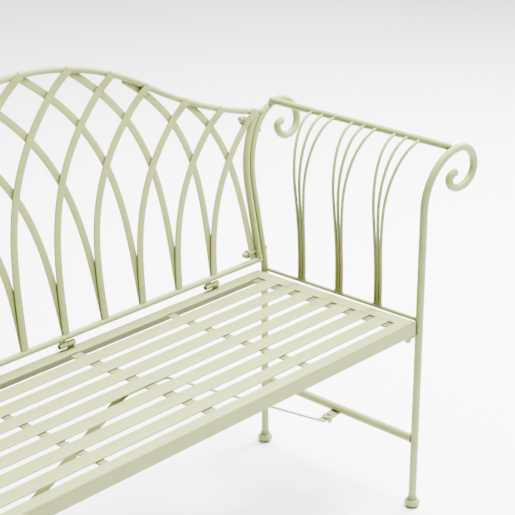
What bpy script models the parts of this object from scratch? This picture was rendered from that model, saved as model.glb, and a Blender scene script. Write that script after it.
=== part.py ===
"""Two-seat steel garden bench: scrolled end frames, leaning lattice back panel, slatted seat and arched brace.

Metres, +Z up. The origin is on the floor under the middle of the bench, +X along its length, -Y to the front.
"""

import math

import bmesh
import bpy
from mathutils import Matrix, Vector

# ---- driving dimensions ------------------------------------------------------------------------
LEG_HALF_SPAN = 0.5586          # middle of the bench to a leg's centreline
LEG_SPACING = 0.418             # rear leg to front leg
LEG_RADIUS = 0.008
FOOT_RADIUS = 0.0165
FOOT_HEIGHT = 0.023
GAP = 0.0003                    # left between pieces that touch
CLEARANCE = 0.0002              # around a bolt in its hole

LEAN = math.atan(0.205)         # the back panel's lean from upright
KNEE_HEIGHT = 0.435             # where the rear leg starts to lean
KNEE_SOFTNESS = 0.02
LOWER_RAKE = 0.0069             # how much the rear leg drifts back below the knee, per metre of height

PANEL_HEIGHT = 0.45             # height of the panel frame's origin
PANEL_SETBACK = 0.0061          # its distance behind the rear foot
TOP_RAIL_RADIUS = 0.00675
TOP_RAIL_RISE = 0.5022          # panel origin to the crown of the top rail
CROWN_RADIUS = 0.609            # of the dome
CROWN_HALF = 0.31               # the dome's half width, where the curve turns the other way
SWEEP_RADIUS = 0.94             # of the hollow curve from the dome to the leg
RAIL_END = 0.626
BOTTOM_RAIL_RADIUS = 0.0065
BOTTOM_RAIL_DROP = 0.0062       # below the panel origin
UPRIGHT_RADIUS = 0.0075

BAR_WIDTH = 0.016
BAR_THICKNESS = 0.003
BAR_OFFSET = 0.002              # panel plane to the middle of a bar, front or rear layer
FOOT_PITCH = 0.1012             # between the feet of the lattice
END_FOOT = 0.5285               # foot of the last bar, beside the upright
BAR_TOPS = {-5: -0.407, -4: -0.250, -3: -0.119, -2: 0.0, -1: 0.115, 0: 0.219,
            1: 0.306, 2: 0.402, 3: 0.497, 4: 0.592}
BAR_LEADS = {-5: 0.20, -4: -0.11, -3: -0.02, -2: 0.02, -1: 0.13, 0: 0.125,
             1: 0.05, 2: 0.195, 3: 0.23, 4: 0.265}      # share of its sideways run that a bar makes evenly

SCROLL_FRONT = [(0.106, 0.1065), (0.052, 0.048), (0.045, 0.0365), (0.035, 0.024), (0.019, 0.011)]
SCROLL_REAR = [(0.118, 0.160), (0.046, 0.045), (0.038, 0.034), (0.027, 0.022), (0.017, 0.011)]
SCROLL_START_FRONT = 0.655
SCROLL_START_REAR = 0.600

ARM_RADIUS = 0.0073
ARM_OFFSET = 0.085              # arm rail's centreline, outward of the legs
ARM_HEIGHT = 0.7655
ARM_REAR = 0.0608               # its rear end, behind the rear foot, just clear of the scroll
STRETCHER_RADIUS = 0.009
STRETCHER_HEIGHT = 0.156
BEARER_RADIUS = 0.004
BEARER_HEIGHT = 0.4190          # at the rear leg
BEARER_RISE = 0.0055            # it rises with the seat to the front leg
SPINDLE_RADIUS = 0.0033
SPINDLE_PITCH_FOOT = 0.0071     # between rods of a fan, at their feet
SPINDLE_PITCH_TOP = 0.0307
SPINDLE_FANS = [(-0.1041, -0.0888), (-0.2072, -0.2006), (-0.3103, -0.3111)]     # middle rod's foot and top
SPINDLE_BOW = 0.007             # the rods bow inward by this much before they lean out
SPINDLE_LEVELS = (0.45, 0.50, 0.625)    # where the bow, the spread and the outward curve begin
SPREAD_POWER = 2.1
SPINDLE_WELD = (0.0076, 0.0222, 0.008)
ARM_END_DEPTH = 0.002           # the rods stop this far short of the arm rail's centre, inside it

SEAT_HALF = 0.5455
SEAT_BACK = 0.0115              # rear edge of the seat frame, behind the rear foot
SEAT_FRONT = -0.4185
SEAT_REAR_HEIGHT = 0.4180
SEAT_FRONT_HEIGHT = 0.4270
ANGLE_DROP = 0.030              # the standing leg of the seat frame's angle section
FLANGE_REAR = 0.030             # its level leg, on each side of the seat
FLANGE_SIDE = 0.033
FLANGE_FRONT = 0.027
ANGLE_THICKNESS = 0.003
SLATS = 7
SLAT_WIDTH = 0.034
SLAT_PITCH = 0.0497
SLAT_MIDDLE = -0.2106           # the middle slat's centreline
SLAT_THICKNESS = 0.003
CROSSBARS = {"left": (-0.2545, 0.018), "centre": (0.0, 0.025), "right": (0.2545, 0.018)}
LEDGE_WIDTH = 0.028             # strip under the slats' ends, welded under the side flange

BRACE_WIDTH = 0.020
BRACE_THICKNESS = 0.003
BRACE_Y = -0.2105
BRACE_TOP = 0.4153              # upper face of the level part under the seat
BRACE_FLAT = 0.050              # its half length
BRACE_SIDE = 0.505              # where the slope reaches the level end
BRACE_END = 0.5435
TAB_TOP = 0.1503
TAB_WIDTH = 0.024
TAB_REACH = 0.0435              # from the stretcher's centreline to the tab's round end
BRACE_BOLT_X = 0.533
LUG_THICKNESS = 0.004
LUG_REACH = 0.032
LUG_WIDTH = 0.020
LUG_BOLT = (0.5385, -0.4065)

KNUCKLE_RADIUS = 0.0059
KNUCKLE_LENGTH = 0.019
KNUCKLE_Y = 0.0045
KNUCKLE_HEIGHT = 0.4285
KNUCKLE_AT = {"left": -0.397, "centre": 0.0, "right": 0.397}
BOLT_RADIUS = 0.0025
SPACER_RADIUS = 0.0048
LOW_SPACER = 0.009              # tube on the lower bolt, between the end bar's edge and the washer
LOW_BOLT_HEIGHT = 0.4635        # of the lower bolt between back and leg
HIGH_BOLT_ANGLE = 45            # where the upper one goes through the scroll's first quarter

PAINT = {"colour": (0.66, 0.69, 0.52, 1.0), "roughness": 0.42, "metallic": 0.0}
BOLT_PAINT = {"colour": (0.62, 0.65, 0.49, 1.0), "roughness": 0.38, "metallic": 0.0}

BACK_REACH = PANEL_SETBACK + math.sin(LEAN) * TOP_RAIL_RISE + TOP_RAIL_RADIUS
Y_REAR = (LEG_SPACING + FOOT_RADIUS - BACK_REACH) / 2     # puts the bench's box in the middle of the frame
LUG_TOP = SEAT_FRONT_HEIGHT - ANGLE_DROP - 0.0009         # just clear of the tilted seat frame
SEAT_PITCH = math.atan((SEAT_FRONT_HEIGHT - SEAT_REAR_HEIGHT) / (SEAT_BACK - SEAT_FRONT))
SIDES = {"left": -1, "right": 1}


# ---- scene, collections and materials ----------------------------------------------------------
for leftover in list(bpy.data.objects):
    bpy.data.objects.remove(leftover, do_unlink=True)

PARTS = bpy.data.collections.new("garden_bench")
CUTTERS = bpy.data.collections.new("cutters")
for group in (PARTS, CUTTERS):
    bpy.context.scene.collection.children.link(group)


def paint(name, look):
    """A painted-metal material."""
    material = bpy.data.materials.new(name)
    material.use_nodes = True
    shader = material.node_tree.nodes["Principled BSDF"]
    shader.inputs["Base Color"].default_value = look["colour"]
    shader.inputs["Roughness"].default_value = look["roughness"]
    shader.inputs["Metallic"].default_value = look["metallic"]
    material.diffuse_color = look["colour"]
    return material


FRAME_PAINT = paint("frame_paint", PAINT)
HARDWARE_PAINT = paint("hardware_paint", BOLT_PAINT)


def empty(name, location, rotation=(0, 0, 0)):
    """A frame that pieces are parented to."""
    holder = bpy.data.objects.new(name, None)
    holder.location = location
    holder.rotation_euler = rotation
    PARTS.objects.link(holder)
    return holder


def place(obj, holder=None, location=(0, 0, 0), rotation=(0, 0, 0), material=FRAME_PAINT):
    """Links an object to the bench, hangs it on its frame and gives it its paint."""
    if obj.name not in PARTS.objects:
        PARTS.objects.link(obj)
    obj.parent = holder
    obj.location = location
    obj.rotation_euler = rotation
    obj.data.materials.clear()
    obj.data.materials.append(material)
    return obj


# ---- shapes ------------------------------------------------------------------------------------
def tube(name, points, radius, resolution=2):
    """A round bar along a polyline, with closed ends."""
    curve = bpy.data.curves.new(name, "CURVE")
    curve.dimensions = "3D"
    curve.bevel_depth = radius
    curve.bevel_resolution = resolution
    curve.use_fill_caps = True
    spline = curve.splines.new("POLY")
    spline.points.add(len(points) - 1)
    for slot, point in zip(spline.points, points):
        slot.co = (*point, 1.0)
    return bpy.data.objects.new(name, curve)


def outline(name, points, thickness):
    """A flat plate cut to a closed outline in its own XY plane."""
    curve = bpy.data.curves.new(name, "CURVE")
    curve.dimensions = "2D"
    curve.fill_mode = "BOTH"
    curve.extrude = thickness / 2
    spline = curve.splines.new("POLY")
    spline.points.add(len(points) - 1)
    for slot, point in zip(spline.points, points):
        slot.co = (point[0], point[1], 0.0, 1.0)
    spline.use_cyclic_u = True
    return bpy.data.objects.new(name, curve)


def box(name, size, centre=(0, 0, 0)):
    """A rectangular bar."""
    mesh = bpy.data.meshes.new(name)
    work = bmesh.new()
    bmesh.ops.create_cube(work, size=1.0)
    bmesh.ops.scale(work, vec=size, verts=work.verts)
    bmesh.ops.translate(work, vec=centre, verts=work.verts)
    work.to_mesh(mesh)
    work.free()
    return bpy.data.objects.new(name, mesh)


def turned(name, profile, steps=20):
    """A solid turned about Z, from a profile of (radius, height) that runs from top to bottom."""
    mesh = bpy.data.meshes.new(name)
    work = bmesh.new()
    verts = [work.verts.new((radius, 0.0, height)) for radius, height in profile]
    for first, second in zip(verts, verts[1:]):
        work.edges.new((first, second))
    work.to_mesh(mesh)
    work.free()
    obj = bpy.data.objects.new(name, mesh)
    screw = obj.modifiers.new("turn", "SCREW")
    screw.steps = screw.render_steps = steps
    screw.use_merge_vertices = True
    screw.merge_threshold = 0.00001
    screw.use_smooth_shade = True
    return obj


def solid(obj):
    """The object's evaluated shape as a plain welded mesh object in the same place."""
    if not obj.users_collection:
        CUTTERS.objects.link(obj)
    bpy.context.view_layer.update()
    graph = bpy.context.evaluated_depsgraph_get()
    mesh = bpy.data.meshes.new_from_object(obj.evaluated_get(graph), depsgraph=graph)
    work = bmesh.new()
    work.from_mesh(mesh)
    bmesh.ops.remove_doubles(work, verts=work.verts, dist=0.000005)
    bmesh.ops.transform(work, matrix=obj.matrix_world, verts=work.verts)
    bmesh.ops.recalc_face_normals(work, faces=work.faces)
    work.to_mesh(mesh)
    work.free()
    name = obj.name
    bpy.data.objects.remove(obj, do_unlink=True)
    made = bpy.data.objects.new(name, mesh)
    mesh.name = name
    PARTS.objects.link(made)
    mesh.materials.clear()
    mesh.materials.append(FRAME_PAINT)
    return made


def cutter(obj):
    """A solid that only cuts: it isn't a piece of the bench."""
    made = solid(obj)
    PARTS.objects.unlink(made)
    CUTTERS.objects.link(made)
    made.hide_render = True
    made.display_type = "WIRE"
    return made


def largest_body(mesh):
    """Keeps a mesh's largest connected body, so that offcuts fall away."""
    work = bmesh.new()
    work.from_mesh(mesh)
    work.verts.ensure_lookup_table()
    left, bodies = set(work.verts), []
    while left:
        stack = [left.pop()]
        body = set(stack)
        while stack:
            for edge in stack.pop().link_edges:
                for vert in edge.verts:
                    if vert in left:
                        left.discard(vert)
                        body.add(vert)
                        stack.append(vert)
        bodies.append(body)
    bodies.sort(key=len, reverse=True)
    for offcut in bodies[1:]:
        bmesh.ops.delete(work, geom=list(offcut), context="VERTS")
    bmesh.ops.dissolve_degenerate(work, dist=0.000002, edges=work.edges)
    work.to_mesh(mesh)
    work.free()


def combine(obj, others, operation):
    """Joins solids to obj, or cuts them from it, and applies the result."""
    for other in others:
        step = obj.modifiers.new(operation.lower(), "BOOLEAN")
        step.operation = operation
        step.solver = "EXACT"
        step.object = other
    bpy.context.view_layer.update()
    graph = bpy.context.evaluated_depsgraph_get()
    mesh = bpy.data.meshes.new_from_object(obj.evaluated_get(graph), depsgraph=graph)
    obj.modifiers.clear()
    obj.data = mesh
    mesh.name = obj.name
    mesh.materials.clear()
    mesh.materials.append(FRAME_PAINT)
    largest_body(mesh)
    return obj


def join(obj, *others):
    """Welds other solids to obj and removes them."""
    combine(obj, others, "UNION")
    for other in others:
        bpy.data.objects.remove(other, do_unlink=True)
    return obj


def cut(obj, *cutters):
    """Cuts solids from obj and keeps them for other cuts."""
    return combine(obj, cutters, "DIFFERENCE")


def smooth(obj, angle=math.radians(40)):
    """Shades a round piece smooth, except at its sharp edges."""
    obj.data.shade_smooth()
    obj.data.set_sharp_from_angle(angle=angle)
    return obj


# ---- paths -------------------------------------------------------------------------------------
def scroll_path(start, quarters, steps):
    """Points (out, up) of a scroll that leaves start going up and winds outward in elliptical quarters."""
    headings = [(0, 1), (1, 0), (0, -1), (-1, 0)]
    here, points = Vector(start), [tuple(start)]
    for index, (width, height) in enumerate(quarters):
        now = Vector(headings[index % 4])
        following = Vector(headings[(index + 1) % 4])
        along = height if now.x == 0 else width
        across = width if now.x == 0 else height
        count = steps[index]
        for step in range(1, count + 1):
            angle = math.radians(90) * step / count
            point = here + now * along * math.sin(angle) + following * across * (1 - math.cos(angle))
            points.append(tuple(point))
        here = here + now * along + following * across
    return points


def rear_lean(height):
    """How far behind the rear foot the rear leg's centreline is, at a height."""
    base = LOWER_RAKE * min(height, KNEE_HEIGHT)
    past = (height - KNEE_HEIGHT + KNEE_SOFTNESS) / (2 * KNEE_SOFTNESS)
    if past <= 0:
        return base
    if past >= 1:
        return LOWER_RAKE * KNEE_HEIGHT + math.tan(LEAN) * (height - KNEE_HEIGHT)
    return base + math.tan(LEAN) * KNEE_SOFTNESS * past * past


def front_leg_path(side):
    """Front leg from the top of its foot to the end of its scroll."""
    path = [(0.0, FOOT_HEIGHT + GAP), (0.0, 0.40)]
    path += scroll_path((0.0, SCROLL_START_FRONT), SCROLL_FRONT, (7, 6, 5, 4, 3))
    return [(side * out, -LEG_SPACING, up) for out, up in path]


def rear_leg_profile():
    """(out, up) points of the rear leg above its knee."""
    return scroll_path((0.0, SCROLL_START_REAR), SCROLL_REAR, (9, 6, 5, 4, 3))


def rear_leg_path(side):
    """Rear leg from the top of its foot to the end of its scroll."""
    straight = [FOOT_HEIGHT + GAP, KNEE_HEIGHT - KNEE_SOFTNESS, KNEE_HEIGHT - 0.007,
                KNEE_HEIGHT + 0.007, KNEE_HEIGHT + KNEE_SOFTNESS]
    path = [(0.0, up) for up in straight] + rear_leg_profile()
    return [(side * out, rear_lean(up), up) for out, up in path]


def shifted(path, distance):
    """A plane path moved sideways: each point moves to the left of its direction of travel."""
    moved = []
    for index, point in enumerate(path):
        before = Vector(path[max(index - 1, 0)])
        after = Vector(path[min(index + 1, len(path) - 1)])
        along = (after - before).normalized()
        moved.append((point[0] - along.y * distance, point[1] + along.x * distance))
    return moved


def to_panel(up):
    """Height above the floor as a distance up the leaning panel."""
    return (up - PANEL_HEIGHT) / math.cos(LEAN)


def top_rail_rise(across):
    """The top rail's centreline, up the panel, at a distance from the middle."""
    across = abs(across)
    if across <= CROWN_HALF:
        return TOP_RAIL_RISE - CROWN_RADIUS + math.sqrt(CROWN_RADIUS ** 2 - across ** 2)
    crown_end = math.asin(CROWN_HALF / CROWN_RADIUS)
    level = TOP_RAIL_RISE - CROWN_RADIUS * (1 - math.cos(crown_end))
    turn = math.asin(math.sin(crown_end) - (across - CROWN_HALF) / SWEEP_RADIUS)
    return level - SWEEP_RADIUS * (math.cos(turn) - math.cos(crown_end))


def bar_line(index, steps):
    """Centreline points (across, up the panel) of the front-layer bar with that foot, leaning right."""
    foot = index * FOOT_PITCH if index > -5 else -END_FOOT
    top = BAR_TOPS[index]
    lead = BAR_LEADS[index]
    power = 3.3 - 0.15 * index
    low = BOTTOM_RAIL_RADIUS - BOTTOM_RAIL_DROP + 2 * GAP
    high = top_rail_rise(top)
    line = []
    for step in range(steps + 1):
        along = 1 - (1 - step / steps) ** 1.3
        lean = lead * along + (1 - lead) * along ** power
        line.append((foot + (top - foot) * lean, low + (high - low) * along))
    return line


# ---- feet and end frames -----------------------------------------------------------------------
def foot(name, holder, location):
    """A flattened ball foot with a collar, turned about Z."""
    profile = [(0.0, FOOT_HEIGHT), (0.0085, FOOT_HEIGHT), (0.0095, FOOT_HEIGHT - 0.003)]
    for step in range(1, 8):
        angle = math.radians(35 + 20 * step)
        profile.append((FOOT_RADIUS * math.sin(angle), 0.0095 * (1 + math.cos(angle)) + 0.0006))
    profile += [(0.0065, 0.0), (0.0, 0.0)]
    return place(turned(name, profile, 16), holder, location)


def lug_plate(name, length, width, thickness):
    """A plate with one round end: its square end at the origin, its length along -X."""
    reach = length - width / 2
    points = [(0.0, -width / 2), (0.0, width / 2)]
    for step in range(9):
        angle = math.radians(90 + 180 * step / 8)
        points.append((-reach + width / 2 * math.cos(angle), width / 2 * math.sin(angle)))
    return outline(name, points, thickness)


def bolt(name, head, seat, washer=0.0095, cap=0.0065, dome=0.0062, spacer=0.0):
    """A bolt along Z: domed head above z=head, shank, then any spacer, washer and cap nut below z=-seat."""
    base = -seat - spacer
    profile = [(0.0, head + 0.0026), (dome * 0.6, head + 0.0020), (dome, head), (BOLT_RADIUS, head)]
    if spacer:
        profile += [(BOLT_RADIUS, -seat), (SPACER_RADIUS, -seat), (SPACER_RADIUS, base)]
    else:
        profile.append((BOLT_RADIUS, base))
    profile += [(washer, base), (washer, base - 0.0014), (cap, base - 0.0014)]
    profile += [(cap, base - 0.0075)]
    for step in range(1, 4):
        angle = math.radians(90 * step / 4)
        profile.append((cap * math.cos(angle), base - 0.0075 - 0.0065 * math.sin(angle)))
    profile.append((0.0, base - 0.014))
    return turned(name, profile, 12)


def rod(name, length, radius, segments=12):
    """A straight round bar along Z, centred."""
    mesh = bpy.data.meshes.new(name)
    work = bmesh.new()
    bmesh.ops.create_cone(work, cap_ends=True, segments=segments, radius1=radius, radius2=radius, depth=length)
    work.to_mesh(mesh)
    work.free()
    return bpy.data.objects.new(name, mesh)


def drill(name, length, holder, location, rotation=(0, 0, 0), radius=BOLT_RADIUS + CLEARANCE):
    """The cutter for a bolt hole."""
    return cutter(place(rod(name, length, radius), holder, location, rotation))


ALONG_X = (0, math.radians(90), 0)
ENDS = {word: empty(f"end_{word}", (side * LEG_HALF_SPAN, Y_REAR, 0)) for word, side in SIDES.items()}
PANEL = empty("back_panel", (0, Y_REAR + PANEL_SETBACK, PANEL_HEIGHT), (-LEAN, 0, 0))
SEAT = empty("seat_frame", (0, Y_REAR + SEAT_BACK, SEAT_REAR_HEIGHT), (-SEAT_PITCH, 0, 0))
MIDDLE = empty("middle", (0, Y_REAR, 0))

# ---- cutters -----------------------------------------------------------------------------------
TOP_RAIL_PATH = [(RAIL_END * step / 22, 0.0, top_rail_rise(RAIL_END * step / 22)) for step in range(-22, 23)]
BOTTOM_RAIL_PATH = [(-0.549, 0.0, -BOTTOM_RAIL_DROP), (0.549, 0.0, -BOTTOM_RAIL_DROP)]
top_rail_cutter = cutter(place(tube("top_rail_cutter", TOP_RAIL_PATH, TOP_RAIL_RADIUS + GAP), PANEL))
bottom_rail_cutter = cutter(place(tube("bottom_rail_cutter", BOTTOM_RAIL_PATH, BOTTOM_RAIL_RADIUS + GAP), PANEL))


def upright_path(side):
    """The upright's centreline in the panel, beside the leg from the bottom rail to the top rail."""
    leg = [(0.0, to_panel(KNEE_HEIGHT)), (0.0, to_panel(0.55))]
    leg += [(out, to_panel(up)) for out, up in scroll_path((0.0, SCROLL_START_REAR), SCROLL_REAR[:1], (14,))]
    beside = shifted(leg, LEG_RADIUS + UPRIGHT_RADIUS + GAP)
    path = [(LEG_HALF_SPAN + beside[0][0], 0.0035 - BOTTOM_RAIL_DROP)]
    for out, rise in beside[1:]:
        across = LEG_HALF_SPAN + out
        if top_rail_rise(across) - rise < 0.0035:
            break
        path.append((across, rise))
    return [(side * across, 0.0, rise) for across, rise in path]


def high_bolt_place():
    """Where the upper bolt crosses the rear leg: (out, up the panel), and its tilt from level."""
    angle = math.radians(HIGH_BOLT_ANGLE)
    width, height = SCROLL_REAR[0]
    out = width * (1 - math.cos(angle))
    up = SCROLL_START_REAR + height * math.sin(angle)
    tilt = math.atan2(width * math.sin(angle), height * math.cos(angle) / math.cos(LEAN))
    return out, to_panel(up), tilt


BOLT_OUT, BOLT_RISE, BOLT_TILT = high_bolt_place()
BACK_BOLTS = {"lower": (0.0, to_panel(LOW_BOLT_HEIGHT), 0.0, 0.0398, LOW_SPACER),
              "upper": (BOLT_OUT, BOLT_RISE, BOLT_TILT, 0.0440, 0.0)}


def back_bolt_pose(side, level):
    """Location and rotation in the panel for a bolt whose +Z points outward through the leg."""
    out, rise, tilt = BACK_BOLTS[level][:3]
    return (side * (LEG_HALF_SPAN + out), 0.0, rise), (0, side * (math.radians(90) + tilt), 0)


ARM_PATH = [(0, ARM_REAR, 0), (0, -LEG_SPACING + LEG_RADIUS + GAP, 0)]
leg_cutters, upright_cutters, arm_cutters, back_drills = {}, {}, {}, {}
for word, side in SIDES.items():
    leg_cutters[word] = cutter(place(tube(f"leg_cutter_{word}", rear_leg_path(side), LEG_RADIUS + GAP), ENDS[word]))
    upright = tube(f"upright_cutter_{word}", upright_path(side), UPRIGHT_RADIUS + GAP)
    upright_cutters[word] = cutter(place(upright, PANEL))
    arm = tube(f"arm_cutter_{word}", ARM_PATH, ARM_RADIUS + GAP)
    arm_cutters[word] = cutter(place(arm, ENDS[word], (side * ARM_OFFSET, 0, ARM_HEIGHT)))
    for level in BACK_BOLTS:
        where, turn = back_bolt_pose(side, level)
        back_drills[word, level] = drill(f"back_drill_{level}_{word}", 0.12, PANEL, where, turn)


# ---- end frames --------------------------------------------------------------------------------
def bearer_height(along):
    """Centre height of the seat bearer, at a distance from the rear foot."""
    return BEARER_HEIGHT - BEARER_RISE * along / LEG_SPACING


def spindle_path(foot_y, top_y, rank):
    """Points (out, back, up) of one rod of a fan, from the bearer into the arm rail."""
    bow_from, spread_from, turn_from = SPINDLE_LEVELS
    width, height = ARM_OFFSET + SPINDLE_BOW, ARM_HEIGHT - turn_from
    base = bearer_height(foot_y - 1.5 * SPINDLE_PITCH_FOOT) + BEARER_RADIUS + GAP
    stop = math.acos(1 - (width - ARM_END_DEPTH) / width)
    line = [(0.0, base), (0.0, bow_from)]
    for step in range(1, 5):
        along = step / 4
        line.append((-SPINDLE_BOW * along * along * (3 - 2 * along), bow_from + (turn_from - bow_from) * along))
    for step in range(1, 9):
        angle = stop * step / 8
        line.append((width * (1 - math.cos(angle)) - SPINDLE_BOW, turn_from + height * math.sin(angle)))
    path = []
    for out, up in line:
        spread = (max(up - spread_from, 0.0) / (ARM_HEIGHT - spread_from)) ** SPREAD_POWER
        middle = foot_y + (top_y - foot_y) * spread
        pitch = SPINDLE_PITCH_FOOT + (SPINDLE_PITCH_TOP - SPINDLE_PITCH_FOOT) * spread
        path.append((out, middle + rank * pitch, up))
    return path


def spindle_fan(name, side, holder, foot_y, top_y):
    """Three rods that stand together on the bearer, then spread and lean out to the arm rail."""
    rods = []
    for rank in (-1, 0, 1):
        path = [(side * out, back, up) for out, back, up in spindle_path(foot_y, top_y, rank)]
        rods.append(solid(place(tube(f"{name}_{rank + 1}", path, SPINDLE_RADIUS, 1), holder)))
    weld = box(f"{name}_weld", SPINDLE_WELD)
    weld = solid(place(weld, holder, (0.0, foot_y, path[0][2] + SPINDLE_WELD[2] / 2 + GAP)))
    made = cut(join(rods[0], weld, *rods[1:]), arm_cutters[name.split("_")[2]])
    made.name = made.data.name = name
    return smooth(made)


for word, side in SIDES.items():
    end = ENDS[word]
    foot(f"foot_rear_{word}", end, (0, 0, 0))
    foot(f"foot_front_{word}", end, (0, -LEG_SPACING, 0))

    rear_leg = solid(place(tube(f"rear_leg_{word}", rear_leg_path(side), LEG_RADIUS), end))
    smooth(cut(rear_leg, back_drills[word, "lower"], back_drills[word, "upper"]))

    front_leg = solid(place(tube(f"front_leg_{word}", front_leg_path(side), LEG_RADIUS), end))
    lug_z = LUG_TOP - LUG_THICKNESS / 2
    lug = lug_plate(f"lug_{word}", LUG_REACH, LUG_WIDTH, LUG_THICKNESS)
    lug = solid(place(lug, MIDDLE, (side * (LEG_HALF_SPAN - 0.002), LUG_BOLT[1] - 0.0025, lug_z),
                      (0, 0, math.radians(90 - 90 * side))))
    lug_drill = drill(f"lug_drill_{word}", 0.03, MIDDLE, (side * LUG_BOLT[0], LUG_BOLT[1], lug_z))
    smooth(cut(join(front_leg, lug), lug_drill))

    arm = tube(f"arm_rail_{word}", ARM_PATH, ARM_RADIUS)
    place(arm, end, (side * ARM_OFFSET, 0, ARM_HEIGHT))

    reach = LEG_RADIUS + GAP
    bearer = [(0, along, bearer_height(along)) for along in (rear_lean(BEARER_HEIGHT) - reach, reach - LEG_SPACING)]
    place(tube(f"seat_bearer_{word}", bearer, BEARER_RADIUS), end)

    line = [(0, rear_lean(STRETCHER_HEIGHT) - reach, 0), (0, -LEG_SPACING + reach, 0)]
    stretcher = solid(place(tube(f"side_stretcher_{word}", line, STRETCHER_RADIUS), end, (0, 0, STRETCHER_HEIGHT)))
    tab = lug_plate(f"tab_{word}", TAB_REACH, TAB_WIDTH, BRACE_THICKNESS)
    tab = solid(place(tab, end, (0, BRACE_Y, TAB_TOP - BRACE_THICKNESS / 2), (0, 0, math.radians(90 - 90 * side))))
    tab_drill = drill(f"tab_drill_{word}", 0.03, MIDDLE, (side * BRACE_BOLT_X, BRACE_Y, 0.147))
    smooth(cut(join(stretcher, tab), tab_drill))

    for number, (foot_y, top_y) in enumerate(SPINDLE_FANS, 1):
        spindle_fan(f"spindle_fan_{word}_{number}", side, end, foot_y, top_y)


# ---- back panel --------------------------------------------------------------------------------
def lattice_bar(name, line, layer):
    """A flat bar of the lattice along a line in the panel, in the front (-1) or rear (1) layer."""
    half = BAR_WIDTH / 2
    edges = []
    for sign in (1, -1):
        edge = shifted(line, sign * half)
        lead = (Vector(line[1]) - Vector(line[0])).normalized()
        edge[0] = (line[0][0] - sign * half / lead.y, line[0][1])
        edges.append(edge)
    plate = outline(name, edges[0] + edges[1][::-1], BAR_THICKNESS)
    return solid(place(plate, PANEL, (0, layer * BAR_OFFSET, 0), (math.radians(90), 0, 0)))


def mirrored(line):
    """A line of the panel, seen from behind."""
    return [(-across, rise) for across, rise in line]


top_rail = solid(place(tube("back_top_rail", TOP_RAIL_PATH, TOP_RAIL_RADIUS), PANEL))
smooth(cut(top_rail, leg_cutters["left"], leg_cutters["right"]))

for word, side in SIDES.items():
    upright = solid(place(tube(f"back_upright_{word}", upright_path(side), UPRIGHT_RADIUS), PANEL))
    line = bar_line(-5, 14)
    end_bar = lattice_bar(f"end_bar_{word}", line if side < 0 else mirrored(line), side)
    join(upright, end_bar)
    cut(upright, top_rail_cutter, bottom_rail_cutter)
    smooth(cut(upright, back_drills[word, "lower"], back_drills[word, "upper"]))

for index in range(-4, 5):
    name = f"lattice_pair_{index + 5}"
    front = lattice_bar(name, bar_line(index, 14), -1)
    rear = lattice_bar(f"{name}_rear", mirrored(bar_line(-index, 14)), 1)
    low = BOTTOM_RAIL_RADIUS - BOTTOM_RAIL_DROP + GAP
    pad = box(f"{name}_pad", (0.019, 0.0082, 0.008))
    pad = solid(place(pad, PANEL, (index * FOOT_PITCH, 0, low + 0.004)))
    join(front, rear, pad)
    cut(front, top_rail_cutter)
    if abs(index) == 4:
        word = "right" if index > 0 else "left"
        cut(front, upright_cutters[word], back_drills[word, "upper"])
    smooth(front)


# ---- seat --------------------------------------------------------------------------------------
def angle_rail(name, length, width, mitres):
    """An angle-section rail along X with its outer corner at y=0, z=0, its flange toward -Y, mitred ends."""
    thick, bend = ANGLE_THICKNESS, 0.003
    section = [(bend * (1 - math.cos(math.radians(a))), -bend * (1 - math.sin(math.radians(a))))
               for a in (0, 30, 60, 90)]
    section += [(width, 0.0), (width, -thick), (thick, -thick), (thick, -ANGLE_DROP), (0.0, -ANGLE_DROP)]
    mesh = bpy.data.meshes.new(name)
    work = bmesh.new()
    face = work.faces.new([work.verts.new((-length / 2, -inward, drop)) for inward, drop in section])
    made = bmesh.ops.extrude_face_region(work, geom=[face])
    far = [item for item in made["geom"] if isinstance(item, bmesh.types.BMVert)]
    bmesh.ops.translate(work, vec=(length, 0, 0), verts=far)
    for vert in work.verts:
        ending = 0 if vert.co.x < 0 else 1
        shift = -vert.co.y * mitres[ending] / width + GAP
        vert.co.x += shift if ending == 0 else -shift
    bmesh.ops.recalc_face_normals(work, faces=work.faces)
    work.to_mesh(mesh)
    work.free()
    return bpy.data.objects.new(name, mesh)


def sleeve(name, side, mate):
    """A short barrel along X for the pins, with a weld web up to the back (1) or down to the seat (-1)."""
    at = KNUCKLE_AT[name.split("_")[-1]] + side * (KNUCKLE_LENGTH / 2 + GAP)
    barrel = rod(name, KNUCKLE_LENGTH, KNUCKLE_RADIUS)
    barrel = solid(place(barrel, MIDDLE, (at, KNUCKLE_Y, KNUCKLE_HEIGHT), ALONG_X))
    web = box(f"{name}_web", (KNUCKLE_LENGTH - 0.004, 0.005, 0.010))
    web = solid(place(web, MIDDLE, (at, KNUCKLE_Y, KNUCKLE_HEIGHT + mate * 0.0075)))
    return [barrel, web]


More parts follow.
